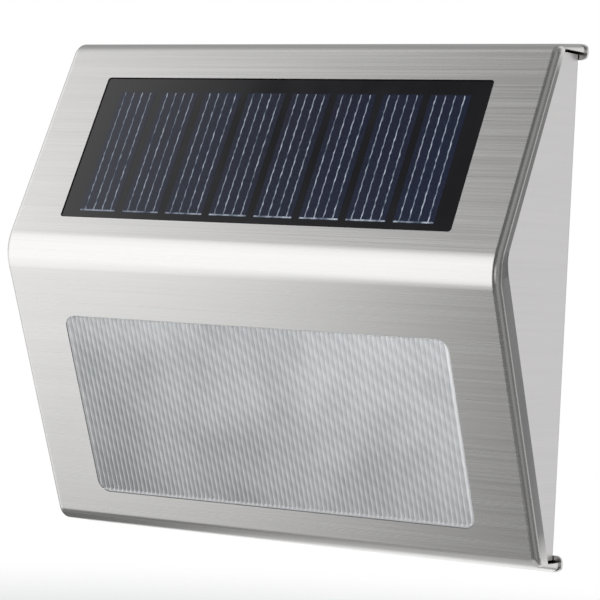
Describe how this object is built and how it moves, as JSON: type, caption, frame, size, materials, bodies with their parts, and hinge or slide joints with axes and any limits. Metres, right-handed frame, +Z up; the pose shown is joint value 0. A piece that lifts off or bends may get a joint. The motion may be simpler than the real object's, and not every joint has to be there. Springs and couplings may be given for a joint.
{
  "type": "solar fence light",
  "caption": "Wedge-shaped solar light with a folded stainless front, a flush solar panel above its bend, a ribbed window below it and a flat back hung on keyholes.",
  "frame": {"origin": "on the wall plane, midway between the round entries of the two keyholes", "axes": "+X across the front, +Y into the wall, +Z up"},
  "size_m": [0.1208, 0.035, 0.1086],
  "materials": {
    "stainless": "brushed stainless sheet",
    "panel_black": "glossy black",
    "cell_blue": "dark blue",
    "cell_silver": "silver print",
    "nickel": "nickel plated",
    "window_clear": "ribbed, see-through",
    "foam": "foam",
    "body_black": "moulded",
    "tray_white": "white",
    "board_green": "solder mask",
    "lamp_clear": "cast resin",
    "component_black": "moulded",
    "capacitor_sleeve": "sleeve",
    "switch_metal": "pressed can",
    "cell_sleeve": "plain shrink sleeve",
    "wire_jacket": "wire jacket"
  },
  "bodies": {
    "light_body": {"front_cover": "stainless", "rear_casing": "stainless", "casing_screws": "stainless", "panel_board": "panel_black", "solar_cells": "cell_blue", "cell_grid_lines": "cell_silver", "panel_tabs": "nickel", "switch_pins": "nickel", "contact_plate": "nickel", "spring_plate": "nickel", "contact_spring": "nickel", "battery_cap": "nickel", "board_screws": "nickel", "window_lens": "window_clear", "panel_seal": "foam", "lens_gasket": "foam", "door_seal": "foam", "inner_housing": "body_black", "back_cover": "body_black", "reflector_tray": "tray_white", "led_board": "board_green", "control_board": "board_green", "leds": "lamp_clear", "driver_chip": "component_black", "inductor": "component_black", "capacitor": "capacitor_sleeve", "switch_body": "switch_metal", "battery_cell": "cell_sleeve", "panel_wires": "wire_jacket", "led_wires": "wire_jacket", "battery_wires": "wire_jacket"},
    "battery_door": {"battery_door": "body_black"},
    "switch_knob": {"switch_knob": "component_black"}
  },
  "joints": [
    {"name": "battery_door_hinge", "type": "hinge", "parent": "light_body", "child": "battery_door", "pos_m": [0, -0.00145, -0.0074], "axis": [1, 0, 0], "range_deg": [0, 75]},
    {"name": "switch_slide", "type": "slide", "parent": "light_body", "child": "switch_knob", "axis": [1, 0, 0], "range_m": [0, 0.002]}
  ]
}
